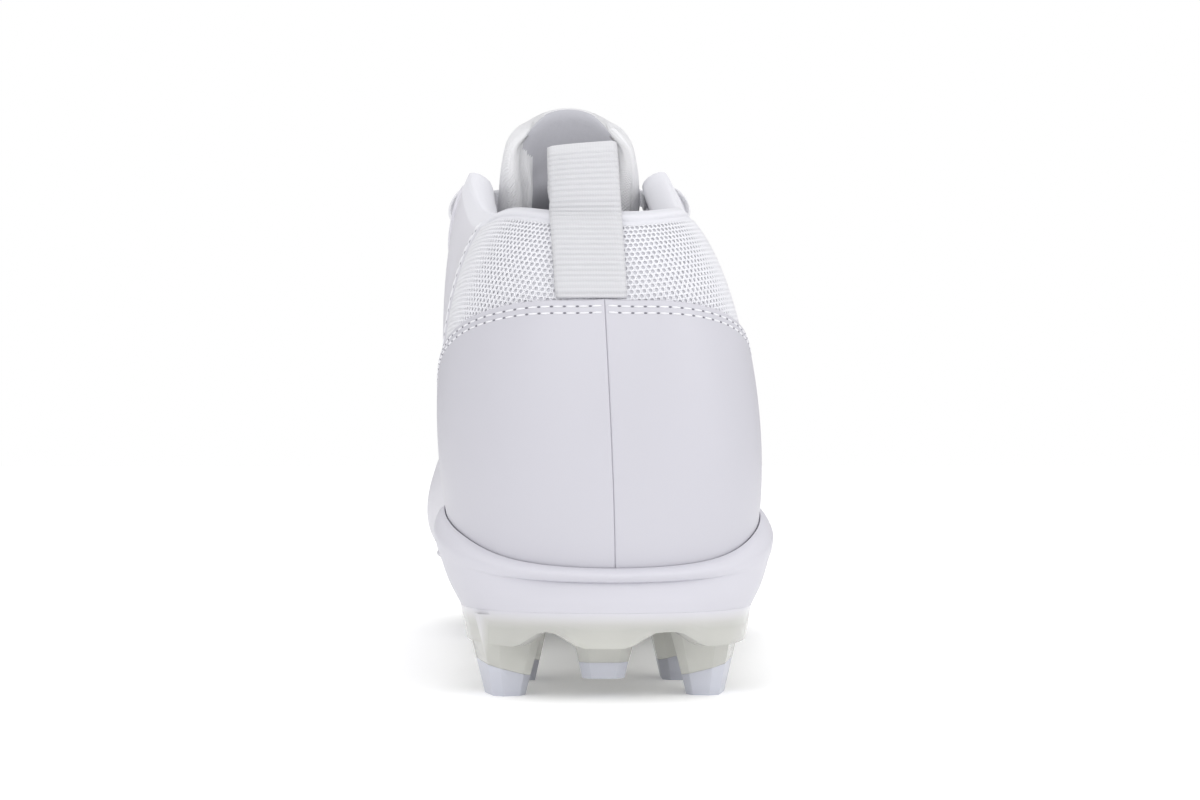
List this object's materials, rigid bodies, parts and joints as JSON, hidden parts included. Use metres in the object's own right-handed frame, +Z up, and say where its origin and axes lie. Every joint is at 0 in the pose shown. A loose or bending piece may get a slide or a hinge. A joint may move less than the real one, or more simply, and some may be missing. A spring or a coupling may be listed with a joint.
{
  "type": "football cleat",
  "caption": "Low-cut right-foot football cleat with a padded mesh collar, smooth heel counter, laced throat, heel pull loop and a clear moulded plate with hard-tipped studs.",
  "frame": {"origin": "middle of the footprint's bounding box, on the floor plane that the studs stand on", "axes": "+Y from heel to toe, +X towards the outer (lateral) side of the right foot, +Z up"},
  "size_m": [0.0987, 0.2932, 0.1456],
  "materials": {
    "collar_mesh": "padded white mesh",
    "smooth_synthetic": "smooth white synthetic",
    "tongue_fabric": "padded white knit",
    "midsole_white": "white moulded foam",
    "clear_plate": "clear moulded plastic",
    "stud_tip_white": "hard white moulding",
    "insole_fabric": "flat lining cloth",
    "ribbed_webbing": "ribbed woven tape",
    "lace_white": "flat woven lace"
  },
  "bodies": {
    "root": {"upper": "collar_mesh", "counter_lateral": "smooth_synthetic", "counter_medial": "smooth_synthetic", "eyestay": "smooth_synthetic", "tongue": "tongue_fabric", "midsole": "midsole_white", "insole": "insole_fabric", "outsole_plate": "clear_plate", "pull_loop": "ribbed_webbing", "lace": "lace_white", "tip_heel_rear_lateral": "stud_tip_white", "tip_heel_rear_medial": "stud_tip_white", "tip_heel_front_lateral": "stud_tip_white", "tip_heel_front_medial": "stud_tip_white", "tip_heel_centre": "stud_tip_white", "tip_ball_rear_lateral": "stud_tip_white", "tip_ball_rear_medial": "stud_tip_white", "tip_ball_lateral": "stud_tip_white", "tip_ball_medial": "stud_tip_white", "tip_fore_lateral": "stud_tip_white", "tip_fore_medial": "stud_tip_white", "tip_toe": "stud_tip_white"}
  },
  "joints": []
}
